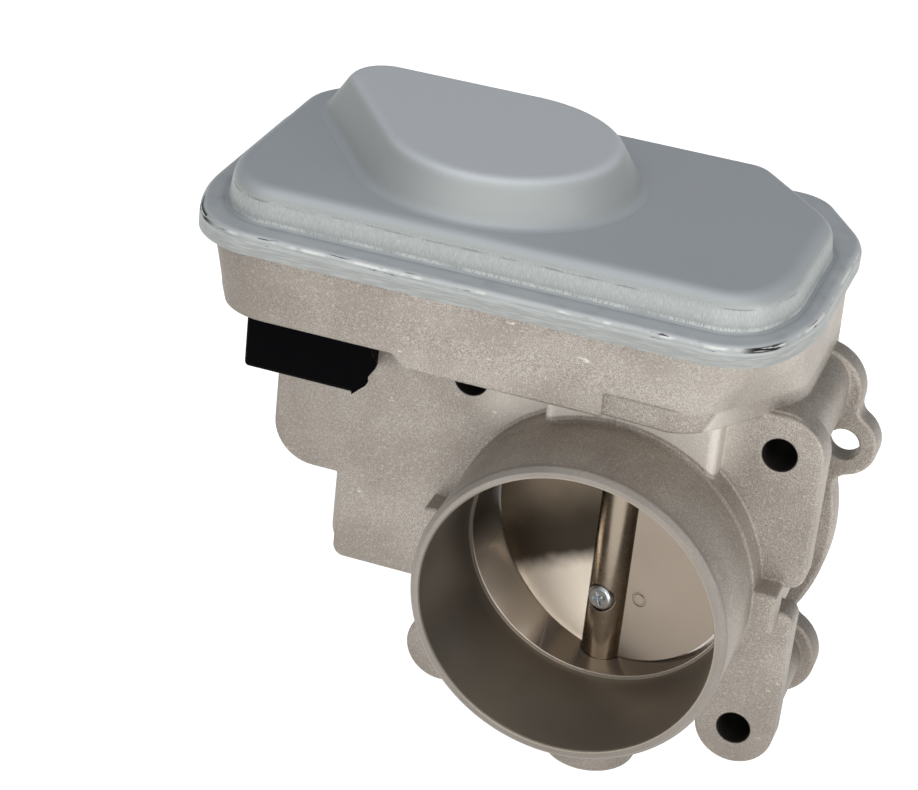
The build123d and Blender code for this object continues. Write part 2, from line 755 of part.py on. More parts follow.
# ---------------------------------------------------------------- idler gear and its pin
with BuildPart() as idler_gear:
    with BuildSketch(upright(IDLER_AT, 47.2)):
        with BuildLine():
            Polyline(*full_gear(IDLER_SMALL, IDLER_SMALL_TOOTH), close=True)
        make_face()
    extrude(amount=9.6)
    with BuildSketch(upright(IDLER_AT, 56.8)):
        with BuildLine():
            Polyline(*full_gear(IDLER_LARGE, IDLER_LARGE_TOOTH), close=True)
        make_face()
    extrude(amount=5.0)
    with BuildSketch(upright(IDLER_AT, 57.8)):
        Circle(16.5)
        Circle(7.0, mode=Mode.SUBTRACT)
    extrude(amount=6.0, mode=Mode.SUBTRACT)
    with BuildSketch(upright(IDLER_AT, 56.8)):
        Circle(7.2)
    extrude(amount=5.8)
    with BuildSketch(upright(IDLER_AT, 47.2)):
        Circle(PIN_R + 0.05)
    extrude(amount=20, mode=Mode.SUBTRACT)
save(idler_gear.part, "idler_gear")
save(ring(IDLER_AT, 0, PIN_R, 36.0, 64.0), "idler_pin")
save(ring(IDLER_AT, PIN_R + GAP, 4.4, 62.9, 63.5), "idler_clip")

# ---------------------------------------------------------------- motor
CAN_WALL = 1.0
ARMATURE_R = 8.6
with BuildPart() as motor_can:
    with BuildSketch(upright(MOTOR_AT, CAN_BOTTOM)):
        Circle(CAN_R)
    extrude(amount=CAN_TOP - CAN_BOTTOM)
    fillet(motor_can.edges().group_by(Axis.Z)[0], 1.2)
    with BuildSketch(upright(MOTOR_AT, CAN_BOTTOM + CAN_WALL)):
        Circle(CAN_R - CAN_WALL)
    extrude(amount=60, mode=Mode.SUBTRACT)
save(motor_can.part, "motor_can")

save(ring(MOTOR_AT, MOTOR_SHAFT_R + SHAFT_FIT, 4.0, CAN_BOTTOM + CAN_WALL + GAP, -9.0), "motor_lower_bush")
save(ring(MOTOR_AT, MOTOR_SHAFT_R + SHAFT_FIT, 4.0, CAN_TOP + 0.2, TRAY_FLOOR - 0.1), "motor_upper_bush")
save(ring(MOTOR_AT, 0, MOTOR_SHAFT_R, -12.0, 64.0), "motor_shaft")

with BuildPart() as motor_end_cap:
    with BuildSketch(upright(MOTOR_AT, CAN_TOP + GAP)):
        Circle(CAN_R)
        Circle(4.0 + GAP, mode=Mode.SUBTRACT)
        with Locations((-7.5, 0), (7.5, 0)):
            Rectangle(1.0, 3.2, mode=Mode.SUBTRACT)
    extrude(amount=TRAY_FLOOR - CAN_TOP - 2 * GAP)
save(motor_end_cap.part, "motor_end_cap")

with BuildPart() as motor_plate:
    with BuildSketch(upright(MOTOR_AT, TRAY_FLOOR + GAP)):
        with Locations(*[(x - MOTOR_X, 0) for x, y in MOTOR_SCREWS]):
            Circle(4.0)
        Circle(13.5)
        Rectangle(35.0, 8.0)
        Circle(5.0, mode=Mode.SUBTRACT)
        with Locations((-7.5, 0), (7.5, 0)):
            Rectangle(2.4, 4.6, mode=Mode.SUBTRACT)
        with Locations(*[(x - MOTOR_X, 0) for x, y in MOTOR_SCREWS]):
            Circle(SCREW_R + 0.1, mode=Mode.SUBTRACT)
    extrude(amount=1.5)
save(motor_plate.part, "motor_plate")


def cap_screws(places, seat, tip):
    """Pan head screws standing on a seat, as one group of separate solids."""
    with BuildPart() as screws:
        for at in places:
            with BuildSketch(upright(at, tip)):
                Circle(SCREW_R)
            extrude(amount=seat - tip)
            with BuildSketch(upright(at, seat)):
                Circle(2.7)
            extrude(amount=1.6)
            with BuildSketch(upright(at, seat + 0.8)):
                Rectangle(3.0, 0.7)
                Rectangle(0.7, 3.0)
            extrude(amount=1, mode=Mode.SUBTRACT)
    return screws.part


save(cap_screws(MOTOR_SCREWS, TRAY_FLOOR + 1.6, MOTOR_SCREW_Z + 0.1), "motor_screws")

with BuildPart() as motor_terminals:
    for side in (-7.5, 7.5):
        with Locations((MOTOR_X + side, MOTOR_Y, 45.5)):
            Box(0.8, 3.0, 8.0)
save(motor_terminals.part, "motor_terminals")

with BuildPart() as motor_armature:
    with BuildSketch(upright(MOTOR_AT, -4.0)):
        Circle(ARMATURE_R)
        with PolarLocations(ARMATURE_R - 2.2, 5):
            Circle(1.7, mode=Mode.SUBTRACT)
        with PolarLocations(ARMATURE_R - 0.5, 5):
            Rectangle(2.4, 1.2, mode=Mode.SUBTRACT)
        Circle(MOTOR_SHAFT_R + GAP, mode=Mode.SUBTRACT)
    extrude(amount=30)
save(motor_armature.part, "motor_armature")
save(ring(MOTOR_AT, MOTOR_SHAFT_R + GAP, 3.8, 28.0, 36.0), "motor_commutator")

with BuildPart() as motor_brushes:
    for side in (-1, 1):
        with Locations((MOTOR_X + side * 7.0, MOTOR_Y, 32.0)):
            Box(6.0, 3.4, 4.6)
save(motor_brushes.part, "motor_brushes")

with BuildPart() as motor_magnets:
    with BuildSketch(upright(MOTOR_AT, -6.0)):
        Circle(CAN_R - CAN_WALL - GAP)
        Circle(ARMATURE_R + 0.5, mode=Mode.SUBTRACT)
        Rectangle(30, 9.0, mode=Mode.SUBTRACT)
    extrude(amount=34)
save(motor_magnets.part, "motor_magnets")

with BuildPart() as motor_pinion:
    with BuildSketch(upright(MOTOR_AT, 55.6)):
        with BuildLine():
            Polyline(*full_gear(MOTOR_TEETH, 0.0), close=True)
        make_face()
        Circle(MOTOR_SHAFT_R + GAP, mode=Mode.SUBTRACT)
    extrude(amount=8.0)
save(motor_pinion.part, "motor_pinion")

# ---------------------------------------------------------------- closed stop screw
with BuildPart() as stop_screw:
    with BuildSketch(STOP_PLANE.offset(-POST_R - 0.8)):
        Circle(SCREW_R)
    extrude(amount=POST_R + 0.8 + 5.4)
    with BuildSketch(STOP_PLANE.offset(-POST_R - 1.3)):
        RegularPolygon(0.8, 6)
    extrude(amount=2.0, mode=Mode.SUBTRACT)
save(stop_screw.part, "stop_screw")

# ---------------------------------------------------------------- lead frame and sensor board
LEAD_SCREW_AT = (0.0, -46.6)
FRAME_Y = -46.9
FRAME_W = 4.0
with BuildPart() as lead_frame:
    with Locations((-30.0, FRAME_Y, TRAY_FLOOR + 1.9)):
        Box(56.0, FRAME_W, 3.4)
    with Locations((0.0, FRAME_Y, (TRAY_FLOOR + BOARD_Z) / 2 + 0.1)):
        Box(9.0, FRAME_W, BOARD_Z - TRAY_FLOOR - 0.2)
    with BuildSketch(Plane.XY.offset(BOARD_Z - 6)):
        with Locations(LEAD_SCREW_AT):
            Circle(SCREW_R + GAP)
    extrude(amount=10, mode=Mode.SUBTRACT)
save(lead_frame.part, "lead_frame")

with BuildPart() as sensor_board:
    with BuildSketch(Plane.XY.offset(BOARD_Z + GAP)):
        with BuildLine():
            FilletPolyline(
                (-11.0, -48.7),
                (16.0, -48.7),
                (27.0, -36.0),
                (27.0, -4.0),
                (-11.0, -4.0),
                radius=2.0,
                close=True,
            )
        make_face()
        with Locations(LEAD_SCREW_AT, BOARD_POST_AT):
            Circle(SCREW_R + 0.1, mode=Mode.SUBTRACT)
    extrude(amount=1.2)
save(sensor_board.part, "sensor_board")

with BuildPart() as sensor_chips:
    for x, y, length, width in ((-2.0, -27.0, 7.0, 5.0), (7.0, -26.0, 4.0, 4.0), (12.0, -38.0, 5.0, 3.0)):
        with Locations((x, y, BOARD_Z + 1.2 + 2 * GAP + 0.35)):
            Box(length, width, 0.7)
save(sensor_chips.part, "sensor_chips")

with BuildPart() as board_screws:
    for at in (LEAD_SCREW_AT, BOARD_POST_AT):
        with BuildSketch(upright(at, BOARD_Z - 5)):
            Circle(SCREW_R)
        extrude(amount=6.4)
        with BuildSketch(upright(at, BOARD_Z + 1.3)):
            Circle(2.0)
        extrude(amount=0.5)
save(board_screws.part, "board_screws")

# ---------------------------------------------------------------- electrical connector
SHELL_LOW = (-75.8, -51.0, 29.8)
SHELL_HIGH = (-52.0, -37.3, TRAY_STEP - 0.2)
SOCKET_WALL = 1.9
SOCKET_END = -60.5


def middle(low, high):
    return tuple((a + b) / 2 for a, b in zip(low, high))


def span(low, high):
    return tuple(b - a for a, b in zip(low, high))


SOCKET_LOW = (SHELL_LOW[0] - 1, SHELL_LOW[1] + SOCKET_WALL, SHELL_LOW[2] + SOCKET_WALL)
SOCKET_HIGH = (SOCKET_END, SHELL_HIGH[1] - SOCKET_WALL, SHELL_HIGH[2] - SOCKET_WALL)

with BuildPart() as connector_shell:
    with Locations(middle(SHELL_LOW, SHELL_HIGH)):
        Box(*span(SHELL_LOW, SHELL_HIGH))
    fillet(connector_shell.edges().filter_by(Axis.X).group_by(Axis.Z)[0], 1.2)
    fillet(connector_shell.edges().group_by(Axis.X)[0].filter_by(Axis.Y).sort_by(Axis.Z)[0], 1.0)
    with Locations(middle(SOCKET_LOW, SOCKET_HIGH)):
        Box(*span(SOCKET_LOW, SOCKET_HIGH), mode=Mode.SUBTRACT)
    with BuildSketch(Plane.XY.offset(TRAY_STEP - 1)):
        with Locations((NECK_X, NECK_Y)):
            Rectangle(NECK_L - 4, NECK_W)
    extrude(amount=TRAY_FLOOR - TRAY_STEP + 1 - GAP)
    for y in (NECK_Y - 3, NECK_Y, NECK_Y + 3):
        for z in (34.0, 37.6):
            with Locations((-62.0, y, z)):
                Box(14.0, 0.9, 0.9, mode=Mode.SUBTRACT)
save(connector_shell.part, "connector_shell")

with BuildPart() as connector_terminals:
    for y in (NECK_Y - 3, NECK_Y, NECK_Y + 3):
        for z in (34.0, 37.6):
            with Locations((-63.0, y, z)):
                Box(12.0, 0.8, 0.8)
save(connector_terminals.part, "connector_terminals")

with BuildPart() as connector_sealant:
    with BuildSketch(Plane.XZ.offset(38.0)):
        with BuildLine():
            Polyline(
                (-51.95, 29.9),
                (-50.2, 31.6),
                (-49.4, 34.2),
                (-47.4, 38.0),
                (-47.9, TRAY_STEP - 0.3),
                (-51.95, TRAY_STEP - 0.3),
                close=True,
            )
        make_face()
    extrude(amount=12.6)
save(connector_sealant.part, "connector_sealant")
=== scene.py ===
"""Looks of an electronic throttle body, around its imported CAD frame.

The scene is in metres, with +Z up and the inlet towards -Y.  Constants are in millimetres unless noted.
"""

import json
import math

import bpy
from mathutils import Matrix, Vector
from mathutils.noise import noise_vector, seed_set


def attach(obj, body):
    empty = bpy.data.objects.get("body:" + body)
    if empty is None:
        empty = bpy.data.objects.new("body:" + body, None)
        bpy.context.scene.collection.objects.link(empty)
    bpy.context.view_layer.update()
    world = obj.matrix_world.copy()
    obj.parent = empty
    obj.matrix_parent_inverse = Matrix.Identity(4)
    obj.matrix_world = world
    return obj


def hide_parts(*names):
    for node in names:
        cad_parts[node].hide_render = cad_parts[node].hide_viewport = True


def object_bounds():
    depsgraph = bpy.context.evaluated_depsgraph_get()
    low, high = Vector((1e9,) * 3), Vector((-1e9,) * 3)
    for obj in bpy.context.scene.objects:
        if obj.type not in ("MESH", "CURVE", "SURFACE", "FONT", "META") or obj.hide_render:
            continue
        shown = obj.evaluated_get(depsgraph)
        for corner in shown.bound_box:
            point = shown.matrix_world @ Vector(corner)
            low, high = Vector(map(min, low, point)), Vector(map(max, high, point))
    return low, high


MM = 0.001

# ---------------------------------------------------------------- frame
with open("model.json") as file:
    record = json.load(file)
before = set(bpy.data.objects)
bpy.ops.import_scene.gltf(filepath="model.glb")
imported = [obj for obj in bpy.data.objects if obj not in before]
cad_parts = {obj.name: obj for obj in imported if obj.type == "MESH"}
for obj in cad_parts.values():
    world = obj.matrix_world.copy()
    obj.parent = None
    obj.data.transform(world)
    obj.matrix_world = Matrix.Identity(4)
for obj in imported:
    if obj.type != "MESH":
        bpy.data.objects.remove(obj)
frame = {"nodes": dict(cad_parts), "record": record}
nodes = frame["nodes"]
cad_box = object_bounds()

# ---------------------------------------------------------------- camera
CAMERA_AT = (108.8, -519.9, 285.8)
CAMERA_AZIMUTH = math.radians(16.50)
CAMERA_ELEVATION = math.radians(27.12)
CAMERA_ROLL = math.radians(6.27)
CAMERA_LENS = 109.9
CAMERA_SENSOR = 36.0


def make_camera():
    """Camera on the right of the inlet, looking down at it, with a slight roll."""
    data = bpy.data.cameras.new("camera")
    data.lens = CAMERA_LENS
    data.sensor_width = CAMERA_SENSOR
    data.clip_start = 10 * MM
    camera = bpy.data.objects.new("camera", data)
    bpy.context.scene.collection.objects.link(camera)
    flat_back = Vector((math.sin(CAMERA_AZIMUTH), -math.cos(CAMERA_AZIMUTH), 0))
    flat_right = Vector((math.cos(CAMERA_AZIMUTH), math.sin(CAMERA_AZIMUTH), 0))
    back = flat_back * math.cos(CAMERA_ELEVATION) + Vector((0, 0, math.sin(CAMERA_ELEVATION)))
    right = Matrix.Rotation(CAMERA_ROLL, 3, back) @ flat_right
    up = back.cross(right)
    turn = Matrix((right, up, back)).transposed().to_4x4()
    camera.matrix_world = Matrix.Translation(Vector(CAMERA_AT) * MM) @ turn
    bpy.context.scene.camera = camera


# ---------------------------------------------------------------- light and floor
LIGHT_TARGET = Vector((-0.02, -0.03, 0.0))      # in metres, like the lights
LIGHTS = (
    # name, place, width and height, power in watts
    ("above", (0.0, -0.8, 1.4), (2.4, 1.8), 12),
    ("right", (1.5, -0.6, 0.4), (1.0, 0.8), 7),
    ("low", (0.3, -1.5, 0.15), (1.2, 0.3), 5),
)
WORLD_COLOUR = (0.94, 0.97, 1.0, 1)
WORLD_STRENGTH = 0.28
FLOOR_COLOUR = (0.60, 0.60, 0.60, 1)
FLOOR_GLOW = 0.9
FLOOR_HALF = 4.0            # in metres


def area_light(name, at, size, power):
    """Soft rectangular light aimed at the middle of the object."""
    data = bpy.data.lights.new(name, "AREA")
    data.shape = "RECTANGLE"
    data.size, data.size_y = size
    data.energy = power
    light = bpy.data.objects.new(name, data)
    bpy.context.scene.collection.objects.link(light)
    turn = (LIGHT_TARGET - Vector(at)).to_track_quat("-Z", "Y").to_matrix().to_4x4()
    light.matrix_world = Matrix.Translation(Vector(at)) @ turn


def make_world():
    """Even pale surroundings."""
    world = bpy.data.worlds.new("studio")
    world.use_nodes = True
    bpy.context.scene.world = world
    background = world.node_tree.nodes["Background"]
    background.inputs["Color"].default_value = WORLD_COLOUR
    background.inputs["Strength"].default_value = WORLD_STRENGTH


def make_floor():
    """Pale floor under the lowest point of the object."""
    z = cad_box[0][2]
    signs = ((-1, -1), (1, -1), (1, 1), (-1, 1))
    mesh = bpy.data.meshes.new("floor")
    mesh.from_pydata([(sx * FLOOR_HALF, sy * FLOOR_HALF, z) for sx, sy in signs], [], [(0, 1, 2, 3)])
    floor = bpy.data.objects.new("floor", mesh)
    bpy.context.scene.collection.objects.link(floor)
    mat = bpy.data.materials.new("floor")
    mat.use_nodes = True
    shader = mat.node_tree.nodes["Principled BSDF"]
    shader.inputs["Base Color"].default_value = FLOOR_COLOUR
    shader.inputs["Emission Color"].default_value = (1, 1, 1, 1)
    shader.inputs["Emission Strength"].default_value = FLOOR_GLOW
    shader.inputs["Roughness"].default_value = 0.9
    shader.inputs["Specular IOR Level"].default_value = 0.1
    mesh.materials.append(mat)


# ---------------------------------------------------------------- node helpers
# Lengths given to these helpers are in millimetres.
def feed(tree, socket, value):
    """Sets a socket to a value, or links it to another node's output.  A colour may leave out its alpha."""
    if isinstance(value, bpy.types.NodeSocket):
        tree.links.new(value, socket)
    elif socket.type == "RGBA" and len(value) == 3:
        socket.default_value = (*value, 1)
    else:
        socket.default_value = value


def node(tree, kind, inputs=None, out=0, **settings):
    """Adds a node and returns one of its outputs."""
    made = tree.nodes.new(kind)
    for key, value in settings.items():
        setattr(made, key, value)
    for key, value in (inputs or {}).items():
        feed(tree, made.inputs[key], value)
    return made.outputs[out]


def place(tree):
    """Object coordinates, in metres in the part's frame."""
    return node(tree, "ShaderNodeTexCoord", out="Object")


def facing(tree):
    """Normal of the surface in the part's frame."""
    return node(tree, "ShaderNodeTexCoord", out="Normal")


def split(tree, vector):
    made = tree.nodes.new("ShaderNodeSeparateXYZ")
    tree.links.new(vector, made.inputs[0])
    return made.outputs


def calc(tree, operation, a, b=0.0, clamp=False):
    return node(tree, "ShaderNodeMath", {0: a, 1: b}, operation=operation, use_clamp=clamp)


def times(tree, first, *others):
    """Product of all the values."""
    for other in others:
        first = calc(tree, "MULTIPLY", first, other)
    return first


def length(tree, a, b):
    return calc(tree, "SQRT", calc(tree, "ADD", times(tree, a, a), times(tree, b, b)))


def stretch(tree, vector, scale):
    return node(tree, "ShaderNodeMapping", {"Vector": vector, "Scale": scale})


def noise(tree, vector, size, detail=3.0, roughness=0.55):
    """Cloudy value about 0.5, with features of a size."""
    values = {"Vector": vector, "Scale": 1 / (size * MM), "Detail": detail, "Roughness": roughness}
    return node(tree, "ShaderNodeTexNoise", values)


def ramp(tree, value, low, high, to_low=0.0, to_high=1.0):
    """Smooth step of a plain value from low to high."""
    values = {"Value": value, "From Min": low, "From Max": high, "To Min": to_low, "To Max": to_high}
    return node(tree, "ShaderNodeMapRange", values, interpolation_type="SMOOTHSTEP")


def slope(tree, value, low, high, to_low=0.0, to_high=1.0):
    """Smooth step of a coordinate or a distance from low to high."""
    return ramp(tree, value, low * MM, high * MM, to_low, to_high)


def band(tree, value, low, full_low, full_high, high):
    """One between the two middle values and nothing beyond the outer ones."""
    return times(tree, slope(tree, value, low, full_low), slope(tree, value, high, full_high))


def spot(tree, at, centre, reach):
    """One near a point, fading to nothing at reach."""
    point = tuple(c * MM for c in centre)
    away = node(tree, "ShaderNodeVectorMath", {0: at, 1: point}, out=1, operation="DISTANCE")
    return slope(tree, away, reach, reach * 0.4)


def mix(tree, share, a, b):
    """Colour a turned into b by share."""
    return node(tree, "ShaderNodeMix", {0: share, 6: a, 7: b}, out=2, data_type="RGBA")


def level(tree, share, a, b):
    """Number a turned into b by share."""
    return node(tree, "ShaderNodeMix", {0: share, 2: a, 3: b})


def rounded(tree, radius):
    """Normal with every edge eased by radius."""
    return node(tree, "ShaderNodeBevel", {"Radius": radius * MM}, samples=6)


def leaned(tree, normal, x, y, z):
    """Normal leaned by a vector."""
    lean = node(tree, "ShaderNodeCombineXYZ", {0: x, 1: y, 2: z})
    total = node(tree, "ShaderNodeVectorMath", {0: normal, 1: lean}, operation="ADD")
    return node(tree, "ShaderNodeVectorMath", {0: total}, operation="NORMALIZE")


def bump(tree, height, distance, strength, normal=None):
    values = {"Height": height, "Distance": distance * MM, "Strength": strength}
    if normal is not None:
        values["Normal"] = normal
    return node(tree, "ShaderNodeBump", values)


def new_material(name):
    mat = bpy.data.materials.new(name)
    mat.use_nodes = True
    tree = mat.node_tree
    return mat, tree, tree.nodes["Principled BSDF"]


# ---------------------------------------------------------------- casting
BORE_EDGE = 30.35           # inside this radius the casting is machined
THROAT_EDGE = 28.6
THROAT_FLARE = 0.85         # lean of the throat's surface towards the inlet, at its lower left
TUBE_EDGE = 33.4
MOUTH_Y = -63.0
SHELTER_Z = 43.5            # the tray shelters the front of the block below this height
BOLT_OFF = 32.0
BOLT_EDGE = 3.6

CAST_CLOUDS = ((0.41, 0.368, 0.322), (0.51, 0.465, 0.415))
CAST_GRAIN = (0.20, 0.175, 0.15)
CAST_PITS = (0.80, 0.77, 0.73)
CAST_NICKS = (0.86, 0.83, 0.79)
# Painted shade, darker towards the plug and the bottom.
CAST_PAINTED_SHADE = (0.17, 0.145, 0.12)
# Painted light under the tray and at the tray's right end.
CAST_PAINTED_LIGHT = (0.93, 0.88, 0.81)
CAST_RIM = ((0.24, 0.215, 0.19), (0.33, 0.30, 0.27))
BORE_CLOUDS = ((0.31, 0.268, 0.215), (0.38, 0.333, 0.28))
# Painted shade on the bore's left wall.
BORE_LEFT_SHADE = (0.10, 0.085, 0.07)
# Painted shade at the throat's top and painted light at its foot.
THROAT_TOP_SHADE = (0.09, 0.075, 0.06)
THROAT_FOOT_LIGHT = (0.64, 0.55, 0.455)
# Painted shade inside the bolt holes.
HOLE_SHADE = (0.045, 0.04, 0.035)


def from_bolt(tree, value):
    """Distance from the nearest line of bolts across one axis."""
    return calc(tree, "SUBTRACT", calc(tree, "ABSOLUTE", value), BOLT_OFF * MM)


def cast_skin(tree, at, grain, pits, clouds):
    """Colour of the shot-blasted skin, with its nicks."""
    skin = mix(tree, ramp(tree, clouds, 0.35, 0.65), *CAST_CLOUDS)
    skin = mix(tree, ramp(tree, grain, 0.34, 0.62, 0.7, 0.0), skin, CAST_GRAIN)
    skin = mix(tree, ramp(tree, pits, 0.52, 0.70, 0.0, 0.25), skin, CAST_PITS)
    nicks = noise(tree, stretch(tree, at, (0.35, 1.0, 1.0)), 2.4, detail=5.0, roughness=0.7)
    return mix(tree, ramp(tree, nicks, 0.67, 0.72, 0.0, 0.6), skin, CAST_NICKS)


def machined_skin(tree, x, z, clouds, throat):
    """Colour of the bore, with painted shade on its left wall, and of the throat, with painted shade at its
    top and painted light at its foot.
    """
    bore = mix(tree, clouds, *BORE_CLOUDS)
    # Painted shade on the bore's left wall.
    bore = mix(tree, slope(tree, x, -12, -29, 0.0, 0.85), bore, BORE_LEFT_SHADE)
    return mix(tree, throat, bore, mix(tree, slope(tree, z, 0, -15), THROAT_TOP_SHADE, THROAT_FOOT_LIGHT))


def painted_light_share(tree, x, y, z, radius):
    """Share of painted light on the casting: under the tray, behind the tube, and at the tray's right end."""
    heights = times(tree, slope(tree, z, 19, 30), slope(tree, z, SHELTER_Z + 1.5, SHELTER_Z))
    behind = times(tree, slope(tree, radius, TUBE_EDGE, TUBE_EDGE + 0.6), band(tree, y, -50, -49, -40, -30))
    block = times(tree, heights, behind, band(tree, x, -34, -24, 18, 28), 0.6)
    right = times(tree, slope(tree, z, SHELTER_Z, SHELTER_Z + 1.5), slope(tree, x, -5, 30, 0.0, 0.15))
    return calc(tree, "ADD", block, right)


def casting():
    """Shot-blasted aluminium, with a machined bore and throat and a crisp rim."""
    mat, tree, shader = new_material("casting")
    at = place(tree)
    x, y, z = split(tree, at)
    radius = length(tree, x, z)
    outside = slope(tree, radius, BORE_EDGE, BORE_EDGE + 0.25)
    throat = slope(tree, radius, THROAT_EDGE + 0.1, THROAT_EDGE)
    rim = times(tree, slope(tree, y, MOUTH_Y + 1.5, MOUTH_Y), slope(tree, radius, TUBE_EDGE, TUBE_EDGE - 0.8))
    grain = noise(tree, at, 0.22, detail=2.0)
    pits = noise(tree, at, 0.55)
    clouds = noise(tree, at, 14, detail=4.0)

    cast = cast_skin(tree, at, grain, pits, clouds)
    cast = mix(tree, times(tree, rim, 0.8), cast, mix(tree, clouds, *CAST_RIM))
    # Painted shade: darker towards the plug and round the lower flange.
    low = slope(tree, z, 0, -45, 0.0, 0.5)
    painted_shade_share = calc(tree, "ADD", times(tree, slope(tree, x, -30, -95), 0.5), low, clamp=True)
    cast = mix(tree, painted_shade_share, cast, CAST_PAINTED_SHADE)
    # Painted light under the tray, behind the tube, and at the tray's right end.
    cast = mix(tree, painted_light_share(tree, x, y, z, radius), cast, CAST_PAINTED_LIGHT)
    colour = mix(tree, outside, machined_skin(tree, x, z, clouds, throat), cast)
    # Painted shade inside the bolt holes.
    bolt = length(tree, from_bolt(tree, x), from_bolt(tree, z))
    colour = mix(tree, slope(tree, bolt, BOLT_EDGE + 0.1, BOLT_EDGE), colour, HOLE_SHADE)
    feed(tree, shader.inputs["Base Color"], colour)

    feed(tree, shader.inputs["Metallic"], 0.75)
    ground = slope(tree, z, 0, -15, 0.50, 0.20)
    feed(tree, shader.inputs["Roughness"], level(tree, outside, level(tree, throat, 0.42, ground), 0.56))

    # Turning marks run round the bore, and the rim and the bore keep crisp edges.
    turned = noise(tree, stretch(tree, at, (0.02, 1.0, 0.02)), 0.35, detail=2.0)
    crisp = calc(tree, "MAXIMUM", rim, calc(tree, "SUBTRACT", 1.0, outside))
    eased = mix(tree, crisp, rounded(tree, 0.8), rounded(tree, 0.25))
    rough = calc(tree, "ADD", times(tree, grain, 0.6), pits)
    height = level(tree, outside, times(tree, turned, 0.08), rough)
    # The foot of the throat opens towards the inlet.
    flare = times(tree, throat, slope(tree, z, 0, -14, 0.0, -THROAT_FLARE), slope(tree, x, -8, -15))
    feed(tree, shader.inputs["Normal"], bump(tree, height, 0.09, 0.9, leaned(tree, eased, 0.0, flare, 0.0)))
    return mat


# ---------------------------------------------------------------- cover
SCUFF_LEFT = (-89.0, -49.5, 60.8)
SCUFF_RIGHT = (29.5, -52.0, 60.8)

ZINC_CLOUDS = ((0.49, 0.52, 0.555), (0.53, 0.56, 0.59))
# Painted highlight on the dome's top, painted shade on the steep walls and on the skirt below the lip.
ZINC_DOME_HIGHLIGHT = (0.80, 0.83, 0.86)
ZINC_WALL_SHADE = (0.42, 0.44, 0.43)
ZINC_SKIRT_SHADE = (0.31, 0.32, 0.307)
ZINC_MARKS = ((0.70, 0.72, 0.70), (0.28, 0.30, 0.30))
# Painted highlight at the foot of the wall.
ZINC_FOOT_HIGHLIGHT = (0.90, 0.92, 0.89)
ZINC_STREAKS = ((0.72, 0.74, 0.73), (0.26, 0.29, 0.31))
# Painted highlight along the lip's edge.
ZINC_EDGE_HIGHLIGHT = (0.80, 0.81, 0.78)
ZINC_WORN = (0.88, 0.88, 0.84)
ZINC_SCRATCH = (0.03, 0.03, 0.035)
ZINC_SCUFF = (0.012, 0.012, 0.014)
# Painted shade round the top of the wall.
ZINC_TOP_SHADE = (0.10, 0.11, 0.115)
# Painted shade in the crease at the wall's foot.
ZINC_CREASE_SHADE = (0.13, 0.155, 0.165)


def lip_wear(tree, at, z, base, steep, along, patches):
    """Colour of the cover with the wear on its rolled lip, broken along its length, and a painted highlight
    along the lip's edge.
    """
    low = slope(tree, z, 61.6, 61.35)
    base = mix(tree, times(tree, low, ramp(tree, along, 0.42, 0.70, 0.0, 0.22)), base, ZINC_STREAKS[0])
    base = mix(tree, times(tree, low, ramp(tree, along, 0.46, 0.30, 0.0, 0.22)), base, ZINC_STREAKS[1])
    # Painted highlight along the lip's edge.
    base = mix(tree, times(tree, band(tree, z, 60.2, 60.8, 61.1, 61.4), 0.3), base, ZINC_EDGE_HIGHLIGHT)
    rim = times(tree, ramp(tree, steep, 0.05, 0.5), band(tree, z, 60.3, 60.6, 61.0, 61.25))
    base = mix(tree, times(tree, rim, ramp(tree, patches, 0.48, 0.60, 0.0, 0.8)), base, ZINC_WORN)
    scratch = times(tree, ramp(tree, along, 0.60, 0.66), band(tree, z, 59.6, 60.0, 60.9, 61.2))
    scratch = times(tree, scratch, ramp(tree, noise(tree, at, 11), 0.45, 0.56))
    base = mix(tree, scratch, base, ZINC_SCRATCH)
    # Scuffs down to black at the two front corners.
    near = calc(tree, "ADD", spot(tree, at, SCUFF_LEFT, 9), spot(tree, at, SCUFF_RIGHT, 7), clamp=True)
    scuff = times(tree, near, band(tree, z, 59.9, 60.2, 60.8, 61.1), ramp(tree, along, 0.43, 0.49))
    return mix(tree, scuff, base, ZINC_SCUFF)


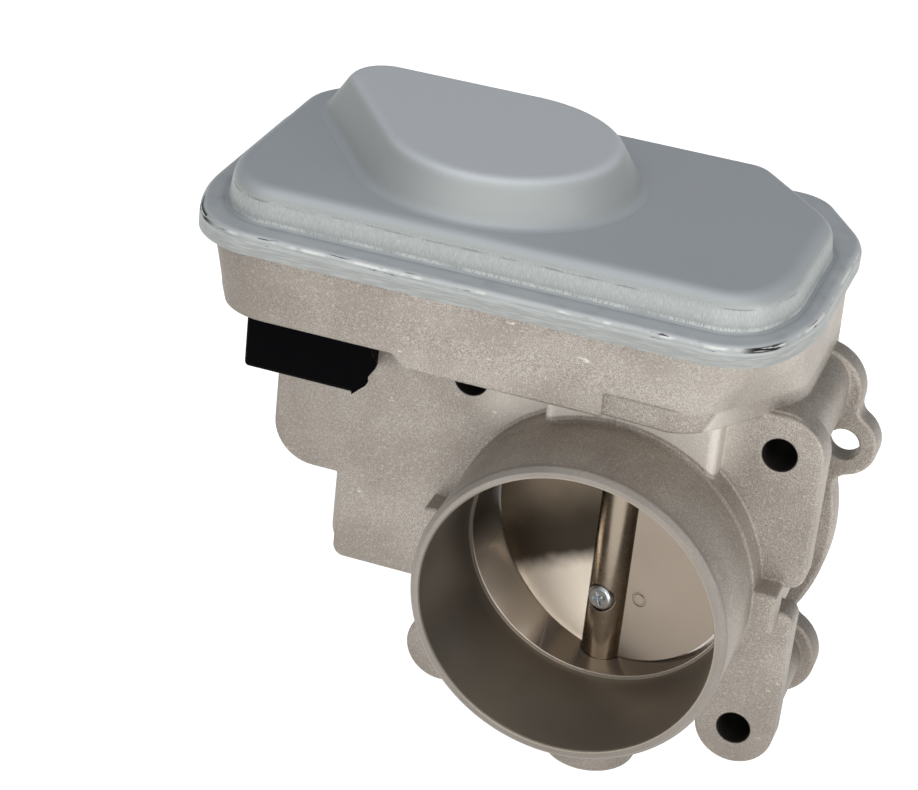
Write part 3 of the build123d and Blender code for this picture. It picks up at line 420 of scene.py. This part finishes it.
def cover_steel():
    """Satin zinc on pressed steel: drawing marks on the walls, painted shade in the crease at their foot and
    a worn rim, with a painted highlight on the dome's top and painted shade on the walls and the skirt.
    """
    mat, tree, shader = new_material("cover_steel")
    at = place(tree)
    z = split(tree, at)[2]
    upward = split(tree, facing(tree))[2]
    steep = ramp(tree, calc(tree, "ABSOLUTE", upward), 0.93, 0.45)
    drawn = times(tree, steep, band(tree, z, 61.9, 62.4, 66.0, 68.2))
    clouds = noise(tree, at, 22)
    fine = noise(tree, at, 0.35, detail=2.0)
    marks = noise(tree, stretch(tree, at, (1, 1, 0.09)), 0.20, detail=2.0)
    along = noise(tree, stretch(tree, at, (0.07, 0.07, 1)), 0.40)
    patches = noise(tree, at, 7)

    base = mix(tree, clouds, *ZINC_CLOUDS)
    # Painted highlight on the dome's top, painted shade on the steep walls and on the skirt below the lip.
    base = mix(tree, slope(tree, z, 74.0, 76.6, 0.0, 0.7), base, ZINC_DOME_HIGHLIGHT)
    base = mix(tree, steep, base, ZINC_WALL_SHADE)
    base = mix(tree, slope(tree, z, 60.0, 59.2), base, ZINC_SKIRT_SHADE)
    # Fine upright marks left on the wall by the press, and a painted highlight at the foot of the wall.
    base = mix(tree, times(tree, drawn, ramp(tree, marks, 0.45, 0.72, 0.0, 0.32)), base, ZINC_MARKS[0])
    base = mix(tree, times(tree, drawn, ramp(tree, marks, 0.44, 0.28, 0.0, 0.25)), base, ZINC_MARKS[1])
    foot = times(tree, band(tree, z, 61.6, 61.8, 62.1, 62.5), ramp(tree, patches, 0.32, 0.54, 0.25, 0.85))
    base = mix(tree, times(tree, foot, ramp(tree, marks, 0.3, 0.55)), base, ZINC_FOOT_HIGHLIGHT)
    base = lip_wear(tree, at, z, base, steep, along, patches)
    # Painted shade: a faint dark line round the top of the wall, and in the crease at its foot.
    line = times(tree, band(tree, z, 65.7, 65.85, 66.0, 66.2), ramp(tree, along, 0.48, 0.6, 0.0, 0.45))
    base = mix(tree, line, base, ZINC_TOP_SHADE)
    crease = node(tree, "ShaderNodeAmbientOcclusion", {"Distance": 2.4 * MM}, out=1, samples=6)
    base = mix(tree, ramp(tree, crease, 0.95, 0.50, 0.0, 0.75), base, ZINC_CREASE_SHADE)
    feed(tree, shader.inputs["Base Color"], base)

    feed(tree, shader.inputs["Metallic"], 0.4)
    feed(tree, shader.inputs["Roughness"], 0.5)
    height = calc(tree, "ADD", times(tree, marks, drawn), times(tree, fine, 0.35))
    feed(tree, shader.inputs["Normal"], bump(tree, height, 0.02, 0.6))
    return mat


# ---------------------------------------------------------------- throttle plate
DISH_X = (0.30, 0.13)       # lean of the plate's surface, left and right of the shaft
DISH_Z = (0.10, 0.26)       # and at its middle and its foot

PLATE_RIGHT = ((0.27, 0.222, 0.175), (0.32, 0.268, 0.216))
# Painted highlight on the plate's left half, darker towards its lower left.
PLATE_LEFT_HIGHLIGHT = ((0.50, 0.435, 0.36), (0.24, 0.205, 0.165))
# Painted dark reflection on the plate's upper left.
PLATE_DARK_REFLECTION = ((0.010, 0.006, 0.002), (0.13, 0.10, 0.07))


def plate_metal():
    """Sheet steel of the throttle plate, slightly dished by its blanking, with a painted highlight and a
    painted dark reflection on its left half.
    """
    mat, tree, shader = new_material("plate_metal")
    at = place(tree)
    x, _, z = split(tree, at)
    grain = noise(tree, at, 0.5)
    clouds = noise(tree, at, 9)
    on_left = slope(tree, x, 2, -2)
    away = calc(tree, "ADD", z, times(tree, x, 1.3))
    # Painted highlight on the left half, darker towards its lower left.
    left = mix(tree, slope(tree, away, -18, -44), *PLATE_LEFT_HIGHLIGHT)
    colour = mix(tree, on_left, mix(tree, clouds, *PLATE_RIGHT), left)
    # A painted dark reflection on the upper left half, on the inlet side.
    edge = calc(tree, "SUBTRACT", z, times(tree, x, 0.6))
    edge = calc(tree, "ADD", edge, times(tree, clouds, 5 * MM))
    dark_reflection = times(tree, slope(tree, edge, -5, 1), on_left, 0.95)
    colour = mix(tree, dark_reflection, colour, mix(tree, slope(tree, edge, 6, 22), *PLATE_DARK_REFLECTION))
    feed(tree, shader.inputs["Base Color"], colour)
    feed(tree, shader.inputs["Metallic"], 1.0)
    feed(tree, shader.inputs["Roughness"], 0.24)
    across = slope(tree, x, -2, 2, *DISH_X)
    dished = leaned(tree, rounded(tree, 0.2), across, 0.0, slope(tree, z, 4, -24, *DISH_Z))
    feed(tree, shader.inputs["Normal"], bump(tree, grain, 0.004, 0.5, dished))
    return mat


# ---------------------------------------------------------------- other materials
def plain(name, colour, metallic, roughness, size=0.6, depth=0.02, spread=0.12, specular=0.5):
    """A material with a fine mottled grain of a size and a depth."""
    mat, tree, shader = new_material(name)
    at = place(tree)
    grain = noise(tree, at, size)
    clouds = noise(tree, at, 12, detail=2.0)
    shade = calc(tree, "ADD", times(tree, grain, 0.5), times(tree, clouds, 0.5))
    dark = tuple(c * (1 - spread) for c in colour)
    light = tuple(min(1, c * (1 + spread)) for c in colour)
    feed(tree, shader.inputs["Base Color"], mix(tree, ramp(tree, shade, 0.35, 0.65), dark, light))
    shader.inputs["Metallic"].default_value = metallic
    shader.inputs["Specular IOR Level"].default_value = specular
    feed(tree, shader.inputs["Roughness"], ramp(tree, grain, 0.3, 0.7, roughness - 0.05, roughness + 0.05))
    feed(tree, shader.inputs["Normal"], bump(tree, grain, depth, 0.7, rounded(tree, 0.3)))
    return mat


MATERIALS = {
    "casting": casting(),
    "cover_steel": cover_steel(),
    "seal_rubber": plain("seal_rubber", (0.02, 0.02, 0.02), 0.0, 0.6),
    "shaft_steel": plain("shaft_steel", (0.34, 0.283, 0.222), 1.0, 0.25, size=4.0, depth=0.001, spread=0.03),
    "plate_metal": plate_metal(),
    "zinc_screw": plain("zinc_screw", (0.72, 0.76, 0.80), 1.0, 0.25, size=0.4, depth=0.01, spread=0.06),
    "bearing_steel": plain("bearing_steel", (0.60, 0.60, 0.60), 1.0, 0.25),
    "gear_plastic": plain("gear_plastic", (0.62, 0.58, 0.48), 0.0, 0.45),
    "bronze": plain("bronze", (0.55, 0.38, 0.20), 1.0, 0.40),
    "magnet": plain("magnet", (0.08, 0.08, 0.09), 0.2, 0.50),
    "spring_steel": plain("spring_steel", (0.35, 0.35, 0.36), 1.0, 0.30),
    "motor_steel": plain("motor_steel", (0.45, 0.46, 0.48), 1.0, 0.35),
    "zinc_plate": plain("zinc_plate", (0.66, 0.69, 0.72), 1.0, 0.35),
    "black_plastic": plain("black_plastic", (0.0012, 0.0012, 0.0016), 0.0, 0.50, specular=0.02),
    "contact": plain("contact", (0.70, 0.68, 0.62), 1.0, 0.25),
    "carbon": plain("carbon", (0.03, 0.03, 0.03), 0.0, 0.60),
    "board": plain("board", (0.02, 0.14, 0.06), 0.0, 0.40),
    "chip": plain("chip", (0.02, 0.02, 0.02), 0.0, 0.45),
    "sealant": plain("sealant", (0.0012, 0.0012, 0.0016), 0.0, 0.45, size=1.5, depth=0.15, specular=0.02),
}


# ---------------------------------------------------------------- dressing
def dress_frame():
    """Gives each CAD node the material of its slot."""
    for part in frame["record"]["subparts"]:
        mesh = nodes[part["node"]].data
        mesh.materials.clear()
        mesh.materials.append(MATERIALS[part["material_slot"]])


# ---------------------------------------------------------------- sealant
SEALANT_OUTLINE = [         # x and z, seen from the front
    (-52.4, 29.6),
    (-51.6, 30.2),
    (-50.8, 31.2),
    (-49.6, 32.3),
    (-49.0, 33.4),
    (-49.05, 35.0),
    (-48.2, 36.4),
    (-47.4, 37.7),
    (-48.2, 38.3),
    (-48.6, 39.2),
    (-48.9, 40.2),
    (-48.8, 41.7),
    (-52.4, 41.7),
]
SEALANT_SPAN = (-51.2, -38.1)
SEALANT_BACK = -52.6        # the lump is a wedge against the end of the plug
SEALANT_WEDGE = 0.45        # how fast it narrows away from the front
SEALANT_TOP = 41.5          # above this height it meets the tray and stays smooth
SEALANT_SLICES = 16
SEALANT_LUMPS = 0.9         # lumps per millimetre
SEALANT_DEPTH = 0.35
SEALANT_SEED = 316


def make_sealant():
    """Lump of black sealant with a ragged edge, where the plug goes into the casting."""
    seed_set(SEALANT_SEED)
    points = []
    for i in range(SEALANT_SLICES + 1):
        behind = (SEALANT_SPAN[1] - SEALANT_SPAN[0]) * i / SEALANT_SLICES
        y = SEALANT_SPAN[0] + behind
        for x, z in SEALANT_OUTLINE:
            shift = Vector()
            if z < SEALANT_TOP:
                shift = noise_vector(Vector((x, y, z)) * SEALANT_LUMPS) * SEALANT_DEPTH
            x = max(x - SEALANT_WEDGE * behind, SEALANT_BACK) + shift.x
            points.append(Vector((x, y, z + shift.z)) * MM)
    count = len(SEALANT_OUTLINE)
    last = SEALANT_SLICES * count
    faces = [tuple(range(count)), tuple(reversed(range(last, last + count)))]
    for i in range(SEALANT_SLICES):
        for j in range(count):
            a, b = i * count + j, i * count + (j + 1) % count
            faces.append((b, a, a + count, b + count))
    mesh = bpy.data.meshes.new("sealant_lump")
    mesh.from_pydata(points, [], faces)
    mesh.materials.append(MATERIALS["sealant"])
    lump = bpy.data.objects.new("sealant_lump", mesh)
    bpy.context.scene.collection.objects.link(lump)
    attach(lump, "root")
    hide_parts("connector_sealant")


# ---------------------------------------------------------------- scene
dress_frame()
make_sealant()
make_camera()
make_world()
make_floor()
for light in LIGHTS:
    area_light(*light)
bpy.context.scene.view_settings.view_transform = "Standard"
